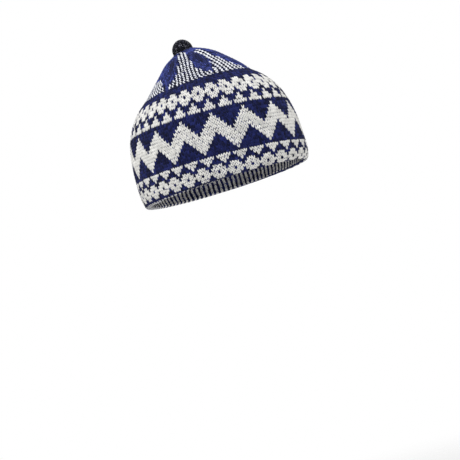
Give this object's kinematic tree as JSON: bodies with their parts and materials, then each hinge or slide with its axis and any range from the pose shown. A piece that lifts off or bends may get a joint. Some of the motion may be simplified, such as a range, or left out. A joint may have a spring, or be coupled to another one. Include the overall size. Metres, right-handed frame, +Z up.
{
  "type": "knitted cap",
  "caption": "Knitted navy and cream colour-work cap with a turned-up hem facing, a crown of striped panels and plain gores, and a small knob at the tip.",
  "frame": {"origin": "centre of the rim's plane, which the cap stands on", "axes": "+Z up along the cap's axis to the knob, +X to the wearer's front, +Y to the wearer's left"},
  "size_m": [0.1836, 0.1596, 0.149],
  "materials": {
    "jacquard_wool": "stranded navy and cream wool knit",
    "striped_wool": "one by one navy and white striped wool knit",
    "navy_wool": "plain navy wool knit",
    "flecked_wool": "near-black flecked wool knit",
    "sewing_yarn": "navy sewing yarn",
    "binding_yarn": "grey-brown wound yarn"
  },
  "bodies": {
    "cap": {"outer_band": "jacquard_wool", "hem_facing": "striped_wool", "hem_thread": "sewing_yarn", "crown_panel_1": "striped_wool", "crown_panel_2": "striped_wool", "crown_panel_3": "striped_wool", "crown_panel_4": "striped_wool", "crown_panel_5": "striped_wool", "crown_panel_6": "striped_wool", "crown_panel_7": "striped_wool", "crown_gore_1": "navy_wool", "crown_gore_2": "navy_wool", "crown_gore_3": "navy_wool", "crown_gore_4": "navy_wool", "crown_gore_5": "navy_wool", "crown_gore_6": "navy_wool", "crown_gore_7": "navy_wool", "neck_binding": "binding_yarn"},
    "tip": {"tip_knob": "flecked_wool", "tip_filling": "navy_wool", "gathering_thread": "sewing_yarn"}
  },
  "joints": [
    {"name": "tip_tilt", "type": "hinge", "parent": "cap", "child": "tip", "pos_m": [-0.00193, -0.0023, 0.1384], "axis": [-0.766, 0.6428, 0], "range_deg": [-25, 15], "stiffness_Nm_per_rad": 0.001}
  ]
}
